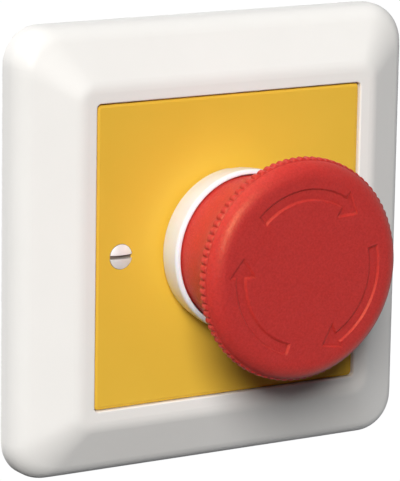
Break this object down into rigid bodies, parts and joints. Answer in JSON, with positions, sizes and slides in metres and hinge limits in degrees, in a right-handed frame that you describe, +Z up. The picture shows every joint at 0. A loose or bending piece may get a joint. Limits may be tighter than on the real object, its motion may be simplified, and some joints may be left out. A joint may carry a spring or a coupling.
{
  "type": "emergency stop switch",
  "caption": "Flush wall switch with a toothed red mushroom head on a white collar, pressed to stop and twisted to release, on a yellow plate in a white frame",
  "frame": {"origin": "centre of the wall plane, on the back face of the support ring, midway between its two box screw holes", "axes": "+X to the right seen from the front, +Y into the wall, +Z up; the head faces -Y"},
  "size_m": [0.0812, 0.0758, 0.0812],
  "materials": {
    "white_frame_plastic": "smooth white moulded thermoplastic",
    "yellow_plate_plastic": "satin yellow moulded plastic",
    "nickel_screw": "bright nickel-plated steel",
    "white_collar_plastic": "smooth white moulded plastic",
    "red_head_plastic": "fine spark-eroded red plastic",
    "zinc_steel": "zinc-plated pressed steel",
    "black_rubber": "soft sealing rubber",
    "black_plastic": "black glass-filled plastic",
    "grey_plastic": "grey moulded plastic",
    "natural_plastic": "natural low-friction plastic",
    "spring_steel": "drawn spring wire",
    "contact_copper": "stamped copper alloy with silver tips"
  },
  "bodies": {
    "housing": {"cover_frame": "white_frame_plastic", "centre_plate": "yellow_plate_plastic", "plate_screw_left": "nickel_screw", "plate_screw_right": "nickel_screw", "support_ring": "zinc_steel", "collar": "white_collar_plastic", "collar_gasket": "black_rubber", "mounting_sleeve": "black_plastic", "ring_nut": "black_plastic", "latch_wire": "spring_steel", "return_spring": "spring_steel", "contact_adaptor": "black_plastic", "adaptor_set_screws": "zinc_steel", "contact_housing_left": "grey_plastic", "contact_housing_right": "grey_plastic", "fixed_contacts_left": "contact_copper", "fixed_contacts_right": "contact_copper", "terminal_screws_left": "zinc_steel", "terminal_screws_right": "zinc_steel", "terminal_clamps_left": "zinc_steel", "terminal_clamps_right": "zinc_steel", "contact_spring_left": "spring_steel", "contact_spring_right": "spring_steel"},
    "plunger": {"plunger": "natural_plastic", "thrust_bar": "natural_plastic", "rod_clip": "spring_steel", "twist_spring": "spring_steel"},
    "head": {"mushroom_head": "red_head_plastic"},
    "contacts_left": {"contact_carriage_left": "natural_plastic", "contact_bridge_left": "contact_copper"},
    "contacts_right": {"contact_carriage_right": "natural_plastic", "contact_bridge_right": "contact_copper"}
  },
  "joints": [
    {"name": "press", "type": "slide", "parent": "housing", "child": "plunger", "axis": [0, 1, 0], "range_m": [0, 0.004], "stiffness_N_per_m": 3000, "springref_m": -0.005, "deforming": ["return_spring"]},
    {"name": "twist", "type": "hinge", "parent": "plunger", "child": "head", "pos_m": [0, -0.0362, 0], "axis": [0, 1, 0], "range_deg": [0, 45], "stiffness_Nm_per_rad": 0.06, "springref_deg": -28.65, "deforming": ["twist_spring"]},
    {"name": "contact_left", "type": "slide", "parent": "housing", "child": "contacts_left", "axis": [0, 1, 0], "range_m": [0, 0.004], "deforming": ["contact_spring_left"]},
    {"name": "contact_right", "type": "slide", "parent": "housing", "child": "contacts_right", "axis": [0, 1, 0], "range_m": [0, 0.004], "deforming": ["contact_spring_right"]}
  ],
  "couplings": [
    {"joint": "contact_left", "follows": "press", "ratio": 1},
    {"joint": "contact_right", "follows": "press", "ratio": 1}
  ]
}
